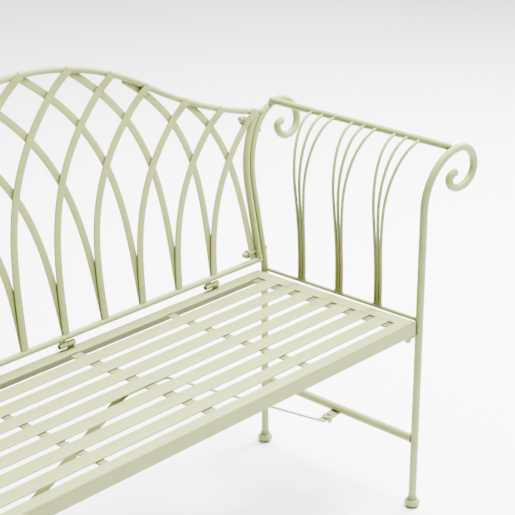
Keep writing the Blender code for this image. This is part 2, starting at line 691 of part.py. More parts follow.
seat_depth = (SEAT_BACK - SEAT_FRONT) / math.cos(SEAT_PITCH)
rails = {"rear": (2 * SEAT_HALF, FLANGE_REAR, (FLANGE_SIDE, FLANGE_SIDE), (0, 0, 0), 0),
         "front": (2 * SEAT_HALF, FLANGE_FRONT, (FLANGE_SIDE, FLANGE_SIDE), (0, -seat_depth, 0), 180),
         "left": (seat_depth, FLANGE_SIDE, (FLANGE_FRONT, FLANGE_REAR), (-SEAT_HALF, -seat_depth / 2, 0), 90),
         "right": (seat_depth, FLANGE_SIDE, (FLANGE_REAR, FLANGE_FRONT), (SEAT_HALF, -seat_depth / 2, 0), -90)}
pin_drills = [drill(f"pin_drill_{word}", 0.05, MIDDLE, (at, KNUCKLE_Y, KNUCKLE_HEIGHT), ALONG_X, 0.0033)
              for word, at in KNUCKLE_AT.items()]
for word, (length, width, mitres, where, turn) in rails.items():
    rail = angle_rail(f"seat_rail_{word}", length, width, mitres)
    place(rail, SEAT, where, (0, 0, math.radians(turn)))
    if word in SIDES:
        side = SIDES[word]
        ledge = box(f"ledge_{word}", (LEDGE_WIDTH, seat_depth - 2 * FLANGE_REAR - 0.004, SLAT_THICKNESS))
        middle = SEAT_HALF - FLANGE_SIDE + 0.007 - LEDGE_WIDTH / 2
        ledge = solid(place(ledge, SEAT, (side * middle, -seat_depth / 2, -ANGLE_THICKNESS * 1.5)))
        join(solid(rail), ledge)
    if word == "rear":
        rail = solid(rail)
        for at in KNUCKLE_AT:
            join(rail, *sleeve(f"seat_sleeve_{at}", 1, -1))
        smooth(cut(rail, *pin_drills))

bottom_rail = solid(place(tube("back_bottom_rail", BOTTOM_RAIL_PATH, BOTTOM_RAIL_RADIUS), PANEL))
for at in KNUCKLE_AT:
    join(bottom_rail, *sleeve(f"back_sleeve_{at}", -1, 1))
smooth(cut(bottom_rail, *pin_drills))

for number in range(1, SLATS + 1):
    along = SLAT_MIDDLE - SEAT_BACK + (SLATS + 1 - 2 * number) / 2 * SLAT_PITCH
    slat = box(f"seat_slat_{number}", (2 * (SEAT_HALF - FLANGE_SIDE - GAP), SLAT_WIDTH, SLAT_THICKNESS))
    place(slat, SEAT, (0, along, -SLAT_THICKNESS / 2))

for word, (across, width) in CROSSBARS.items():
    crossbar = box(f"seat_crossbar_{word}", (width, seat_depth - 2 * ANGLE_THICKNESS - 2 * GAP, 0.003))
    place(crossbar, SEAT, (across, -seat_depth / 2, -ANGLE_THICKNESS - GAP - 0.0015))

# ---- brace and fasteners -----------------------------------------------------------------------
low = TAB_TOP - BRACE_THICKNESS * 1.5 - GAP
high = BRACE_TOP - BRACE_THICKNESS / 2
middle_line = [(-BRACE_END, low), (-BRACE_SIDE, low), (-BRACE_FLAT, high),
               (BRACE_FLAT, high), (BRACE_SIDE, low), (BRACE_END, low)]
over, under = (shifted(middle_line, sign * BRACE_THICKNESS / 2) for sign in (1, -1))
brace = outline("seat_brace", over + under[::-1], BRACE_WIDTH)
brace = solid(place(brace, MIDDLE, (0, BRACE_Y, 0), (math.radians(90), 0, 0)))
brace_drills = [drill(f"brace_drill_{word}", 0.03, MIDDLE, (side * BRACE_BOLT_X, BRACE_Y, low))
                for word, side in SIDES.items()]
cut(brace, *brace_drills)

for word, side in SIDES.items():
    for level, (*_, seat_at, spacer) in BACK_BOLTS.items():
        where, turn = back_bolt_pose(side, level)
        fixing = bolt(f"back_bolt_{level}_{word}", LEG_RADIUS + 3 * GAP, seat_at, spacer=spacer)
        place(fixing, PANEL, where, turn, HARDWARE_PAINT)
    fixing = bolt(f"brace_bolt_{word}", 0.0, 2 * BRACE_THICKNESS + 3 * GAP, 0.008, 0.0055)
    place(fixing, MIDDLE, (side * BRACE_BOLT_X, BRACE_Y, TAB_TOP + GAP), (0, 0, 0), HARDWARE_PAINT)
    stud_top = SEAT_FRONT_HEIGHT - ANGLE_THICKNESS - 0.0035
    fixing = bolt(f"seat_bolt_{word}", 0.0, stud_top - (LUG_TOP - LUG_THICKNESS - GAP),
                  0.008, 0.0072, 0.0036)
    place(fixing, MIDDLE, (side * LUG_BOLT[0], LUG_BOLT[1], stud_top), (0, 0, 0), HARDWARE_PAINT)

for word, at in KNUCKLE_AT.items():
    pin = rod(f"hinge_pin_{word}", 2 * KNUCKLE_LENGTH - 0.004, 0.0030)
    place(pin, MIDDLE, (at, KNUCKLE_Y, KNUCKLE_HEIGHT), ALONG_X, HARDWARE_PAINT)
    smooth(pin)
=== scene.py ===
import math
import random

import bmesh
import bpy
from mathutils import Matrix, Vector


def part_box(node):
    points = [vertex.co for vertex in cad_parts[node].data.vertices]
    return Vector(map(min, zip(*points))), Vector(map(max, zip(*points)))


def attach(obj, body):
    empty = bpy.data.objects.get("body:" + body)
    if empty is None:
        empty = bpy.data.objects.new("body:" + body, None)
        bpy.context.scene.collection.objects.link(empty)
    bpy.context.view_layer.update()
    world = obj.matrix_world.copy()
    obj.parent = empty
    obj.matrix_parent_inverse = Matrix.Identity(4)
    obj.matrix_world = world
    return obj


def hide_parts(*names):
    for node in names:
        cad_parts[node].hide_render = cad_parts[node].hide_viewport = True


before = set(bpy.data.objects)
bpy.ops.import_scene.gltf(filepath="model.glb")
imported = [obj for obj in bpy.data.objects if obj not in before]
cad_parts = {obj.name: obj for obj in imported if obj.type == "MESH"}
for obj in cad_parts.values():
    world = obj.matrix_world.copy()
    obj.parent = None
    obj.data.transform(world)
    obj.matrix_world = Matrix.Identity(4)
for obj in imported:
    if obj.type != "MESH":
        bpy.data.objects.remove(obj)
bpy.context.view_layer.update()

random.seed(11)

# ---- sizes, in metres, that the CAD is built from ----------------------------------------------
SIDES = {"left": -1, "right": 1}
GAP = 0.0003                            # between pieces that are welded or rest on each other
BITE = 0.001                            # how far a tube's end runs into what it is welded to

# feet and legs
rear_low, rear_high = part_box("foot_rear_right")
front_low, front_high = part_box("foot_front_right")
LEG_X = (rear_low.x + rear_high.x) / 2
REAR_Y = (rear_low.y + rear_high.y) / 2
LEG_SPACING = REAR_Y - (front_low.y + front_high.y) / 2
FOOT_TOP = rear_high.z
FOOT_RADIUS = (rear_high.x - rear_low.x) / 2
BALL_MIDDLE = 0.0096
BALL_HALF_HEIGHT = 0.0100
COLLAR_RADIUS = 0.0103
LEG_RADIUS = 0.008
LEG_FOOT_BITE = 0.003                   # how far a leg runs into its foot
LEAN = math.atan(0.205)                 # of the back, from upright
KNEE_HEIGHT = 0.435                     # where the rear leg bends back
KNEE_SOFTNESS = 0.02                    # half the height of that bend
LOWER_RAKE = 0.0069                     # slope of the rear leg below its bend
SCROLL_START_FRONT = 0.655
SCROLL_START_REAR = 0.600
SCROLL_FRONT = [(0.106, 0.1065), (0.052, 0.048), (0.045, 0.0365), (0.035, 0.024), (0.019, 0.011)]
SCROLL_REAR = [(0.118, 0.160), (0.046, 0.045), (0.038, 0.034), (0.027, 0.022), (0.017, 0.011)]

# arm rail, rods, seat bearer and stretcher of an end
ARM_RADIUS = 0.0073
ARM_OFFSET = 0.085                      # outward from the legs
ARM_HEIGHT = 0.7655
ARM_BITE = 0.003
SPINDLE_RADIUS = 0.0033
SPINDLE_PITCH_FOOT = 0.0071
SPINDLE_PITCH_TOP = 0.0307
SPINDLE_FANS = [(-0.1041, -0.0888), (-0.2072, -0.2006), (-0.3103, -0.3111)]      # middle rod's foot and top
SPINDLE_BOW = 0.007
SPINDLE_SHORT = 0.004                   # how far short of the arm rail's centreline a rod ends
BOW_FROM = 0.45
SPREAD_FROM = 0.50
TURN_FROM = 0.625
SPREAD_POWER = 2.1
BEARER_HEIGHT = 0.4190                  # at the rear leg
BEARER_RISE = 0.0055                    # from there to the front leg
BEARER_RADIUS = 0.004
STRETCHER_HEIGHT = 0.156
STRETCHER_RADIUS = 0.009
TAB_TOP = 0.1503
TAB_THICKNESS = 0.003
TAB_WIDTH = 0.024

# back panel
PANEL_HEIGHT = 0.45
PANEL_SETBACK = 0.0061
TOP_RAIL_RADIUS = 0.00675
TOP_RAIL_RISE = 0.5022
CROWN_RADIUS = 0.609
CROWN_HALF = 0.31
SWEEP_RADIUS = 0.94
BOTTOM_RAIL_RADIUS = 0.0065
BOTTOM_RAIL_DROP = 0.0062
BOTTOM_RAIL_HALF = 0.549
UPRIGHT_RADIUS = 0.0075
BAR_WIDTH = 0.016
BAR_THICKNESS = 0.003
BAR_OFFSET = 0.002                      # of each layer from the panel's middle
BAR_FOOT_BITE = 0.0015
FOOT_PITCH = 0.1012
END_FOOT = 0.5285
BAR_TOPS = {-5: -0.407, -4: -0.250, -3: -0.119, -2: 0.0, -1: 0.115, 0: 0.219,
            1: 0.306, 2: 0.402, 3: 0.497, 4: 0.592}
BAR_LEADS = {-5: 0.20, -4: -0.11, -3: -0.02, -2: 0.02, -1: 0.13, 0: 0.125,
             1: 0.05, 2: 0.195, 3: 0.23, 4: 0.265}      # share of its sideways run that a bar makes evenly
OVER_RAIL = 0.001                       # where a front bar ends, above the top rail's centreline
BEHIND_RAIL = -0.004                    # where a rear bar ends, below it
STEP_LENGTH = 0.030                     # the end of a front bar that steps forward over the top rail
STEP_FORWARD = 0.0052

# seat
SEAT_HALF = 0.5455
SEAT_BACK = 0.0115
SEAT_FRONT = -0.4185
SEAT_REAR_HEIGHT = 0.4180
SEAT_FRONT_HEIGHT = 0.4270
ANGLE_DROP = 0.030
ANGLE_THICKNESS = 0.003
FLANGE_REAR = 0.030
FLANGE_SIDE = 0.033
FLANGE_FRONT = 0.027
SEAT_PITCH = math.atan((SEAT_FRONT_HEIGHT - SEAT_REAR_HEIGHT) / (SEAT_BACK - SEAT_FRONT))
SEAT_DEPTH = (SEAT_BACK - SEAT_FRONT) / math.cos(SEAT_PITCH)
SLATS = 7
SLAT_PITCH = 0.0497
SLAT_WIDTH = 0.034
SLAT_THICKNESS = 0.003
SLAT_MIDDLE = -0.2106
SLAT_CLEARANCE = 0.0014                 # from a slat's end to the side rail's flange
LEDGE_WIDTH = 0.028
LEDGE_PAST_FLANGE = 0.007               # from the flange's edge to the ledge's centreline
LEDGE_INSET = 0.033
LEDGE_LEVEL = -0.0045
CROSSBAR_LEVEL = -0.0048
CROSSBAR_INSET = 0.0034

# brace, lugs, sleeves and bolts
BRACE_WIDTH = 0.020
BRACE_THICKNESS = 0.003
BRACE_Y = -0.2105
BRACE_TOP = 0.4153
BRACE_FLAT = 0.050
BRACE_SIDE = 0.505
BRACE_END = 0.5435
BRACE_BEND = 0.011
BRACE_BOLT_X = 0.533
LUG_BOLT = (0.5385, -0.4065)
LUG_THICKNESS = 0.004
LUG_WIDTH = 0.020
LUG_LENGTH = 0.0335
LUG_SETBACK = 0.009
LUG_TOP = SEAT_FRONT_HEIGHT - ANGLE_DROP - 0.0009
KNUCKLE_RADIUS = 0.0059
KNUCKLE_LENGTH = 0.019
KNUCKLE_Y = 0.0045
KNUCKLE_HEIGHT = 0.4285
KNUCKLE_AT = {"left": -0.397, "centre": 0.0, "right": 0.397}
PIN_RADIUS = 0.0030
PIN_BORE = 0.0033
BOLT_RADIUS = 0.0025
SPACER_RADIUS = 0.0048
LOW_SPACER = 0.009
LOW_SEAT = 0.0398                       # from the rear leg's centreline to the spacer
HIGH_SEAT = 0.0440                      # and to the upper bolt's washer
LOW_BOLT_HEIGHT = 0.4635
HIGH_BOLT_ANGLE = math.radians(45)      # round the rear scroll's first quarter
SEAL_RADIUS = 0.0092
HEAD_RISE = 0.0030
WASHER_THICKNESS = 0.0014
CAP_SHOULDER = 0.0080                   # from the washer's seat to the foot of the cap nut's dome
CAP_DOME = 0.0060

PANEL = Matrix.Translation((0, REAR_Y + PANEL_SETBACK, PANEL_HEIGHT)) @ Matrix.Rotation(-LEAN, 4, "X")
SEAT = Matrix.Translation((0, REAR_Y + SEAT_BACK, SEAT_REAR_HEIGHT)) @ Matrix.Rotation(-SEAT_PITCH, 4, "X")
BASE = Matrix.Translation((0, REAR_Y, 0))
ENDS = {word: Matrix.Translation((side * LEG_X, REAR_Y, 0)) for word, side in SIDES.items()}

# ---- how finely curves are drawn, and small shapes that only the looks have ----------------------
LEG_SIDES = 32
FRONT_SCROLL_STEPS = (26, 20, 18, 16, 10)
REAR_SCROLL_STEPS = (30, 20, 18, 16, 10)
BAR_STEPS = 60
BEAD_SPACING = 0.0012                   # along a weld bead
TIP_RADIUS = 0.00002                    # where a turned shape closes on its axis
LUG_TAPER = [(0, 0.35), (0.03, 0.6), (0.1, 0.85), (0.2, 0.97), (0.3, 1.0), (0.6, 1.0), (1, 1.0)]
ARM_TIP = [(0.003, 0.0004, 0.94), (0.001, 0.0016, 0.78), (-0.001, 0.0034, 0.45)]       # back, drop, size
TAB_TIP = [(0.006, 1), (0.02, 1), (0.030, 1), (0.0345, 0.97), (0.0385, 0.84), (0.0415, 0.6), (0.0433, 0.3)]
ROD_WELD_SIZES = [1.3, 1.25, 1.15, 1.0, 0.9, 0.7, 0.3]

# ---- materials ---------------------------------------------------------------------------------
# Scales of the powder coat's noises, in cells per metre
CLOUD_SCALE = 26.0                      # faint lighter and darker patches
CORNER_SCALE = 140.0                    # ragged edge of the painted corner shade
DIRT_SCALE = 420.0                      # specks in the painted corner shade
DIRT_FIELD_SCALE = 38.0                 # where specks gather
SCUFF_SCALE = 900.0                     # pinpricks in the coat
SCUFF_FIELD_SCALE = 9.0                 # where pinpricks gather
GLOSS_SCALE = 90.0
PEEL_SCALE = 650.0                      # orange peel
DENT_SCALE = 70.0                       # shallow waves
CORNER_REACH = 0.012                    # how far from a corner the painted shade spreads, in metres


def paint(name, colour, shade_and_scuff_colour, roughness, grime):
    """Powder coat: orange peel, faint cloudiness, painted shade in corners (a darker olive), and specks where
    dirt sits.
    """
    material = bpy.data.materials.new(name)
    material.use_nodes = True
    nodes, links = material.node_tree.nodes, material.node_tree.links
    shader = nodes["Principled BSDF"]
    shader.inputs["Roughness"].default_value = roughness
    shader.inputs["Specular IOR Level"].default_value = 0.38
    place = nodes.new("ShaderNodeTexCoord")

    def noise(scale, detail, rough=0.5):
        node = nodes.new("ShaderNodeTexNoise")
        node.inputs["Scale"].default_value = scale
        node.inputs["Detail"].default_value = detail
        node.inputs["Roughness"].default_value = rough
        links.new(place.outputs["Object"], node.inputs["Vector"])
        return node.outputs["Fac"]

    def ramp(value, low, high, start=0.0, stop=1.0):
        node = nodes.new("ShaderNodeMapRange")
        node.inputs["From Min"].default_value = low
        node.inputs["From Max"].default_value = high
        node.inputs["To Min"].default_value = start
        node.inputs["To Max"].default_value = stop
        links.new(value, node.inputs["Value"])
        return node.outputs["Result"]

    def multiply(first, second):
        node = nodes.new("ShaderNodeMath")
        node.operation = "MULTIPLY"
        links.new(first, node.inputs[0])
        links.new(second, node.inputs[1])
        return node.outputs[0]

    def mix(factor, first, second):
        node = nodes.new("ShaderNodeMix")
        node.data_type = "RGBA"
        links.new(factor, node.inputs["Factor"])
        for socket, value in ((node.inputs[6], first), (node.inputs[7], second)):
            if isinstance(value, tuple):
                socket.default_value = value
            else:
                links.new(value, socket)
        return node.outputs[2]

    def bump(scale, strength, distance):
        node = nodes.new("ShaderNodeBump")
        node.inputs["Strength"].default_value = strength
        node.inputs["Distance"].default_value = distance
        links.new(noise(scale, 2.0), node.inputs["Height"])
        return node

    # Painted shade: ambient occlusion pulls the coat towards the dark shade colour in corners and gaps
    corner = nodes.new("ShaderNodeAmbientOcclusion")
    corner.samples = 8
    corner.inputs["Distance"].default_value = CORNER_REACH
    corner_shade = ramp(corner.outputs["AO"], 0.90, 0.28)
    cloudy = ramp(noise(CLOUD_SCALE, 3.0), 0.35, 0.7)
    lighter = tuple(min(1.0, value * 1.045) for value in colour[:3]) + (1.0,)
    darker = tuple(value * 0.955 for value in colour[:3]) + (1.0,)
    coat = mix(cloudy, darker, lighter)
    coat = mix(multiply(corner_shade, ramp(noise(CORNER_SCALE, 4.0), 0.2, 0.55, 0.65, 1.0)), coat, shade_and_scuff_colour)
    specks = multiply(ramp(corner_shade, 0.35, 0.75), ramp(noise(DIRT_SCALE, 2.0), 0.60, 0.66))
    coat = mix(multiply(specks, ramp(noise(DIRT_FIELD_SCALE, 1.0), 0.42, 0.55)), coat, grime)
    scuffs = multiply(ramp(noise(SCUFF_SCALE, 1.0), 0.70, 0.74),
                      ramp(noise(SCUFF_FIELD_SCALE, 2.0), 0.54, 0.62, 0.0, 0.5))
    coat = mix(scuffs, coat, shade_and_scuff_colour)
    links.new(coat, shader.inputs["Base Color"])
    gloss = ramp(noise(GLOSS_SCALE, 3.0), 0.3, 0.7, roughness - 0.05, roughness + 0.09)
    links.new(gloss, shader.inputs["Roughness"])

    peel = bump(PEEL_SCALE, 0.22, 0.0004)
    dents = bump(DENT_SCALE, 0.15, 0.0012)
    links.new(peel.outputs["Normal"], dents.inputs["Normal"])
    links.new(dents.outputs["Normal"], shader.inputs["Normal"])
    return material


# The third colour of each paint is its painted corner shade, also used for the scuff pinpricks
FRAME_PAINT = paint("bench_powder_coat", (0.218, 0.243, 0.074, 1.0), (0.055, 0.063, 0.009, 1.0), 0.50,
                    (0.045, 0.045, 0.015, 1.0))
HARDWARE_PAINT = paint("fastener_paint", (0.205, 0.225, 0.070, 1.0), (0.032, 0.036, 0.008, 1.0), 0.42,
                       (0.03, 0.03, 0.012, 1.0))
# Painted shade: a darker copy of the coat for the seat rails' inner faces and the ledges under the slats
SHADED_PAINT = paint("bench_powder_coat_painted_shade", (0.100, 0.108, 0.032, 1.0), (0.03, 0.033, 0.008, 1.0), 0.7,
                     (0.03, 0.03, 0.01, 1.0))
# Painted shade: a darker copy of the coat for the crossbars, which lie under the slats
UNDER_SHADE_PAINT = paint("bench_powder_coat_under_shade", (0.150, 0.165, 0.050, 1.0), (0.04, 0.045, 0.008, 1.0), 0.60,
                    (0.03, 0.03, 0.01, 1.0))
DARK_STEEL = paint("dark_seal", (0.050, 0.052, 0.022, 1.0), (0.02, 0.02, 0.01, 1.0), 0.6,
                   (0.02, 0.02, 0.01, 1.0))


# ---- mesh tools --------------------------------------------------------------------------------
def ease(share):
    """0 to 1 with a smooth start and stop."""
    return share * share * (3 - 2 * share)


def round_section(radius, sides=24):
    """A circle's points."""
    return [(radius * math.cos(2 * math.pi * k / sides), radius * math.sin(2 * math.pi * k / sides))
            for k in range(sides)]


def flat_section(width, thickness, corner=0.0007, steps=3):
    """A flat bar's section with rounded edges, width along the first axis."""
    points = []
    for index, (sign_x, sign_y) in enumerate(((1, 1), (-1, 1), (-1, -1), (1, -1))):
        for step in range(steps + 1):
            angle = math.radians(90 * index + 90 * step / steps)
            points.append((sign_x * (width / 2 - corner) + corner * math.cos(angle),
                           sign_y * (thickness / 2 - corner) + corner * math.sin(angle)))
    return points


def skin(work, rings, material=0):
    """Joins each ring of vertices to the next one with smooth faces, and returns the faces."""
    faces = []
    for ring, following in zip(rings, rings[1:]):
        for k in range(len(ring)):
            after = (k + 1) % len(ring)
            face = work.faces.new((ring[k], ring[after], following[after], following[k]))
            face.smooth = True
            face.material_index = material
            faces.append(face)
    return faces


def sweep(work, path, section, normal=(0, 1, 0), scales=None, material=0):
    """Adds to a bmesh a section carried along a path. The section's second axis stays close to normal."""
    path = [Vector(point) for point in path]
    normal = Vector(normal)
    rings = []
    for index, point in enumerate(path):
        ahead = path[min(index + 1, len(path) - 1)] - path[max(index - 1, 0)]
        ahead.normalize()
        aside = ahead.cross(normal).normalized()
        upward = aside.cross(ahead)
        scale = scales[index] if scales else 1.0
        rings.append([work.verts.new(point + (aside * u + upward * v) * scale) for u, v in section])
    skin(work, rings, material)
    for ring in (rings[0], rings[-1]):
        work.faces.new(ring).material_index = material


def turned(work, profile, sides=32, axis=(0, 0, 1), origin=(0, 0, 0), material=0):
    """Adds a turned solid: profile of (radius, distance along axis), from one end to the other."""
    axis, origin = Vector(axis).normalized(), Vector(origin)
    first = axis.orthogonal().normalized()
    second = axis.cross(first)
    rings = []
    for radius, distance in profile:
        radius = max(radius, TIP_RADIUS)
        middle = origin + axis * distance
        rings.append([work.verts.new(middle + first * across + second * along)
                      for across, along in round_section(radius, sides)])
    skin(work, rings, material)
    for ring in (rings[0], rings[-1]):
        work.faces.new(ring).material_index = material


def bead(work, centre, axis, across, along, thickness=0.0016, reference=(0, 1, 0)):
    """A rippled weld bead around a joint: an ellipse of half sizes across and along, facing axis."""
    axis = Vector(axis).normalized()
    first = axis.cross(Vector(reference)).normalized()
    second = axis.cross(first)
    count = max(24, int(2 * math.pi * max(across, along) / BEAD_SPACING))
    start = random.random() * 6.0
    path, scales = [], []
    for step in range(count):
        angle = 2 * math.pi * step / count
        wander = 1.0 + 0.04 * math.sin(5 * angle + start)
        offset = first * across * math.cos(angle) + second * along * math.sin(angle)
        path.append(Vector(centre) + offset * wander)
        scales.append(1.0 + 0.16 * math.sin(angle * count / 3.2) + 0.10 * math.sin(3 * angle + 2 * start))
    rings = []
    for index, point in enumerate(path):
        ahead = (path[(index + 1) % count] - path[index - 1]).normalized()
        aside = ahead.cross(axis).normalized()
        rings.append([work.verts.new(point + (aside * u + axis * v) * scales[index])
                      for u, v in round_section(thickness, 8)])
    skin(work, rings + rings[:1])


def piece(name, work, matrix, *nodes, slot="frame_paint", materials=(FRAME_PAINT,), smooth_angle=38):
    """Turns a bmesh into a piece of the bench that stands for CAD nodes."""
    bmesh.ops.recalc_face_normals(work, faces=work.faces)
    bmesh.ops.transform(work, matrix=matrix, verts=work.verts)
    mesh = bpy.data.meshes.new(name)
    work.to_mesh(mesh)
    work.free()
    for material in materials:
        mesh.materials.append(material)
    made = bpy.data.objects.new(name, mesh)
    bpy.context.scene.collection.objects.link(made)
    mesh.set_sharp_from_angle(angle=math.radians(smooth_angle))
    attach(made, "root")
    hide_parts(*nodes)


# ---- paths -------------------------------------------------------------------------------------
def straight(start, end, count=12):
    """Evenly spaced points from start to end."""
    start, end = Vector(start), Vector(end)
    return [start.lerp(end, step / count) for step in range(count + 1)]


def eased(corners, reach, steps=8):
    """A polyline with each corner rounded off within reach of it."""
    path = [Vector(corners[0])]
    for before, corner, after in zip(corners, corners[1:], corners[2:]):
        before, corner, after = Vector(before), Vector(corner), Vector(after)
        start = corner + (before - corner).normalized() * reach
        stop = corner + (after - corner).normalized() * reach
        for step in range(steps + 1):
            share = step / steps
            path.append(start.lerp(corner, share).lerp(corner.lerp(stop, share), share))
    return path + [Vector(corners[-1])]


def shifted(path, distance):
    """A plane path moved sideways: each point moves to the left of its direction of travel."""
    moved = []
    for index, point in enumerate(path):
        along = (Vector(path[min(index + 1, len(path) - 1)]) - Vector(path[max(index - 1, 0)])).normalized()
        moved.append((point[0] - along.y * distance, point[1] + along.x * distance))
    return moved


def mirrored(line):
    """A line of the panel, seen from behind."""
    return [(-across, rise) for across, rise in line]


def scroll_path(start, quarters, steps):
    """Points (out, up) of a scroll that leaves start going up and winds outward in elliptical quarters."""
    headings = [(0, 1), (1, 0), (0, -1), (-1, 0)]
    here, points = Vector(start), [tuple(start)]
    for index, (width, height) in enumerate(quarters):
        now, following = Vector(headings[index % 4]), Vector(headings[(index + 1) % 4])
        along = height if now.x == 0 else width
        across = width if now.x == 0 else height
        for step in range(1, steps[index] + 1):
            angle = math.radians(90) * step / steps[index]
            spot = here + now * along * math.sin(angle) + following * across * (1 - math.cos(angle))
            points.append(tuple(spot))
        here = here + now * along + following * across
    return points


def rear_lean(height):
    """How far behind the rear foot the rear leg's centreline is, at a height."""
    base = LOWER_RAKE * min(height, KNEE_HEIGHT)
    past = (height - KNEE_HEIGHT + KNEE_SOFTNESS) / (2 * KNEE_SOFTNESS)
    if past <= 0:
        return base
    if past >= 1:
        return LOWER_RAKE * KNEE_HEIGHT + math.tan(LEAN) * (height - KNEE_HEIGHT)
    return base + math.tan(LEAN) * KNEE_SOFTNESS * past * past


def bearer_height(along):
    """Centre height of the seat bearer, at a distance from the rear foot."""
    return BEARER_HEIGHT - BEARER_RISE * along / LEG_SPACING


def to_panel(up):
    """Height above the floor as a distance up the leaning panel."""
    return (up - PANEL_HEIGHT) / math.cos(LEAN)


def top_rail_rise(across):
    """The top rail's centreline, up the panel, at a distance from the middle."""
    across = abs(across)
    if across <= CROWN_HALF:
        return TOP_RAIL_RISE - CROWN_RADIUS + math.sqrt(CROWN_RADIUS ** 2 - across ** 2)
    crown_end = math.asin(CROWN_HALF / CROWN_RADIUS)
    level = TOP_RAIL_RISE - CROWN_RADIUS * (1 - math.cos(crown_end))
    turn = math.asin(math.sin(crown_end) - (across - CROWN_HALF) / SWEEP_RADIUS)
    return level - SWEEP_RADIUS * (math.cos(turn) - math.cos(crown_end))


def bar_line(index, beyond):
    """Centreline points (across, up the panel) of the bar with that foot that leans right."""
    foot = index * FOOT_PITCH if index > -5 else -END_FOOT
    top = BAR_TOPS[index]
    lead, power = BAR_LEADS[index], 3.3 - 0.15 * index
    low = BOTTOM_RAIL_RADIUS - BOTTOM_RAIL_DROP - BAR_FOOT_BITE
    high = top_rail_rise(top) + beyond
    line = []
    for step in range(BAR_STEPS + 1):
        along = 1 - (1 - step / BAR_STEPS) ** 1.3
        lean = lead * along + (1 - lead) * along ** power
        line.append((foot + (top - foot) * lean, low + (high - low) * along))
    return line


def upright_path(side):
    """The upright's centreline in the panel, beside the leg from the bottom rail to the top rail."""
    leg = [(0.0, to_panel(KNEE_HEIGHT)), (0.0, to_panel(0.55))]
    leg += [(out, to_panel(up)) for out, up in scroll_path((0.0, SCROLL_START_REAR), SCROLL_REAR[:1], (40,))]
    beside = shifted(leg, LEG_RADIUS + UPRIGHT_RADIUS + GAP)
    path = [(LEG_X + beside[0][0], 0.0035 - BOTTOM_RAIL_DROP)]
    for out, rise in beside[1:]:
        across = LEG_X + out
        if top_rail_rise(across) - rise < 0.002:
            break
        path.append((across, rise))
    return [(side * across, 0.0, rise) for across, rise in path]


# ---- end frames --------------------------------------------------------------------------------
def make_front_leg(word, side):
    """A front leg from foot to scroll, with the lug that its corner of the seat is bolted to."""
    work = bmesh.new()
    path = [(0.0, FOOT_TOP - LEG_FOOT_BITE)] + [(0.0, 0.05 + 0.06 * step) for step in range(10)]
    path += scroll_path((0.0, SCROLL_START_FRONT), SCROLL_FRONT, FRONT_SCROLL_STEPS)
    sweep(work, [(side * out, -LEG_SPACING, up) for out, up in path], round_section(LEG_RADIUS, LEG_SIDES))
    plate = [(-side * LUG_LENGTH * (1 - share), -LEG_SPACING + LUG_SETBACK, LUG_TOP - LUG_THICKNESS / 2)
             for share, size in LUG_TAPER]
    sweep(work, plate, flat_section(LUG_THICKNESS, LUG_WIDTH, 0.0008),
          scales=[size for share, size in LUG_TAPER])
    piece(f"front_leg_tube_{word}", work, ENDS[word], f"front_leg_{word}")


def make_rear_leg(word, side):
    """A rear leg from foot to scroll, bent back above the seat."""
    work = bmesh.new()
    levels = [FOOT_TOP - LEG_FOOT_BITE, 0.1, 0.2, 0.3, 0.38]
    levels += [KNEE_HEIGHT + KNEE_SOFTNESS * (step / 6 - 1) for step in range(13)] + [0.50, 0.55]
    path = [(0.0, up) for up in levels]
    path += scroll_path((0.0, SCROLL_START_REAR), SCROLL_REAR, REAR_SCROLL_STEPS)
    sweep(work, [(side * out, rear_lean(up), up) for out, up in path], round_section(LEG_RADIUS, LEG_SIDES))
    piece(f"rear_leg_tube_{word}", work, ENDS[word], f"rear_leg_{word}")


def make_foot(word, end_name, along):
    """A flattened ball foot with its collar."""
    work = bmesh.new()
    profile = [(0.0, 0.0), (FOOT_RADIUS * 0.45, 0.0)]
    for step in range(1, 16):
        angle = math.radians(22 + 140 * step / 16)
        profile.append((FOOT_RADIUS * math.sin(angle), BALL_MIDDLE - BALL_HALF_HEIGHT * math.cos(angle)))
    profile += [(COLLAR_RADIUS - 0.0005, FOOT_TOP - 0.0030), (COLLAR_RADIUS, FOOT_TOP - 0.0018),
                (COLLAR_RADIUS - 0.0005, FOOT_TOP - 0.0004), (0.0086, FOOT_TOP), (0.0, FOOT_TOP)]
    turned(work, profile, 36)
    bead(work, (0, 0, FOOT_TOP), (0, 0, 1), 0.0084, 0.0084, 0.0010)
    piece(f"foot_ball_{end_name}_{word}", work, ENDS[word] @ Matrix.Translation((0, along, 0)),
          f"foot_{end_name}_{word}", smooth_angle=60)


def make_arm_rail(word, side):
    """An arm rail with a rounded front end, and its welds to the scrolls."""
    low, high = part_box(f"arm_rail_{word}")
    work = bmesh.new()
    x = side * ARM_OFFSET
    rear, front = high.y - REAR_Y + ARM_BITE, low.y - REAR_Y - ARM_BITE
    path = straight((x, rear, ARM_HEIGHT), (x, front + 0.005, ARM_HEIGHT), 20)
    scales = [1.0] * len(path) + [size for back, drop, size in ARM_TIP]
    path += [Vector((x, front + back, ARM_HEIGHT - drop)) for back, drop, size in ARM_TIP]
    sweep(work, path, round_section(ARM_RADIUS, 28), (0, 0, 1), scales)
    bead(work, (x, rear - 0.0042, ARM_HEIGHT - 0.002), (0, 1, 0), 0.0068, 0.0070, 0.0013, (0, 0, 1))
    bead(work, (x, front + 0.0036, ARM_HEIGHT - 0.001), (0, 1, 0), 0.0070, 0.0070, 0.0012, (0, 0, 1))
    piece(f"arm_tube_{word}", work, ENDS[word], f"arm_rail_{word}")


